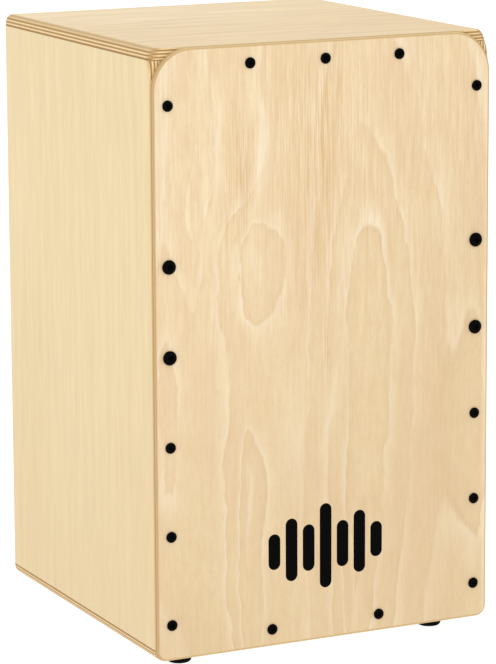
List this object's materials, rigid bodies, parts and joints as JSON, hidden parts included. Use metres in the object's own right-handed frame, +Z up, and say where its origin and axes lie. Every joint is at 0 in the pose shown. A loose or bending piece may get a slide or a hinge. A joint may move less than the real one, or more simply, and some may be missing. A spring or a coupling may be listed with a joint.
{
  "type": "cajon",
  "caption": "Seat-height plywood box drum with a screwed-on front playing plate, rounded plate corners, rear sound hole, inner snare wires on a rail, and rubber feet.",
  "frame": {"origin": "on the floor, under the middle of the object's bounding box", "axes": "+Z up through the seat; the front playing plate faces -Y and the sound hole faces +Y; +X is the player's left side seen from behind, the viewer's right seen from the front"},
  "size_m": [0.3, 0.3029, 0.5],
  "materials": {
    "birch_ply": "satin clear-lacquered birch plywood, pale straight grain, darker end-grain plies on the edges",
    "face_veneer": "satin clear-lacquered flat-cut birch veneer with flame figure",
    "pine_batten": "planed raw pine",
    "black_screw": "black oxide, slightly glossy",
    "zinc_steel": "bright zinc",
    "rubber": "matt black",
    "felt": "dense dark felt",
    "print_ink": "matt black screen-print ink on the front plate, used by the scene only"
  },
  "bodies": {
    "root": {"back_panel": "birch_ply", "bottom_board": "birch_ply", "clamp_screw_left_inner": "zinc_steel", "clamp_screw_left_outer": "zinc_steel", "clamp_screw_right_inner": "zinc_steel", "clamp_screw_right_outer": "zinc_steel", "damper_pad": "felt", "foot_front_left": "rubber", "foot_front_right": "rubber", "foot_rear_left": "rubber", "foot_rear_right": "rubber", "foot_screw_front_left": "zinc_steel", "foot_screw_front_right": "zinc_steel", "foot_screw_rear_left": "zinc_steel", "foot_screw_rear_right": "zinc_steel", "foot_washer_front_left": "zinc_steel", "foot_washer_front_right": "zinc_steel", "foot_washer_rear_left": "zinc_steel", "foot_washer_rear_right": "zinc_steel", "front_cleat_bottom": "pine_batten", "front_cleat_left": "pine_batten", "front_cleat_right": "pine_batten", "front_cleat_top": "pine_batten", "front_plate": "face_veneer", "left_side": "birch_ply", "plate_screw_bottom_1": "black_screw", "plate_screw_bottom_2": "black_screw", "plate_screw_left_1": "black_screw", "plate_screw_left_2": "black_screw", "plate_screw_left_3": "black_screw", "plate_screw_left_4": "black_screw", "plate_screw_right_1": "black_screw", "plate_screw_right_2": "black_screw", "plate_screw_right_3": "black_screw", "plate_screw_right_4": "black_screw", "plate_screw_top_1": "black_screw", "plate_screw_top_2": "black_screw", "plate_screw_top_3": "black_screw", "rail_end_screw_left": "zinc_steel", "rail_end_screw_right": "zinc_steel", "rail_screw_left_lower": "black_screw", "rail_screw_left_upper": "black_screw", "rail_screw_right_lower": "black_screw", "rail_screw_right_upper": "black_screw", "rear_cleat_bottom": "pine_batten", "rear_cleat_left": "pine_batten", "rear_cleat_right": "pine_batten", "rear_cleat_top": "pine_batten", "right_side": "birch_ply", "snare_block_left": "pine_batten", "snare_block_right": "pine_batten", "snare_clamp_left": "zinc_steel", "snare_clamp_right": "zinc_steel", "snare_rail": "pine_batten", "snare_wires_left": "zinc_steel", "snare_wires_right": "zinc_steel", "top_board": "birch_ply"}
  },
  "joints": []
}
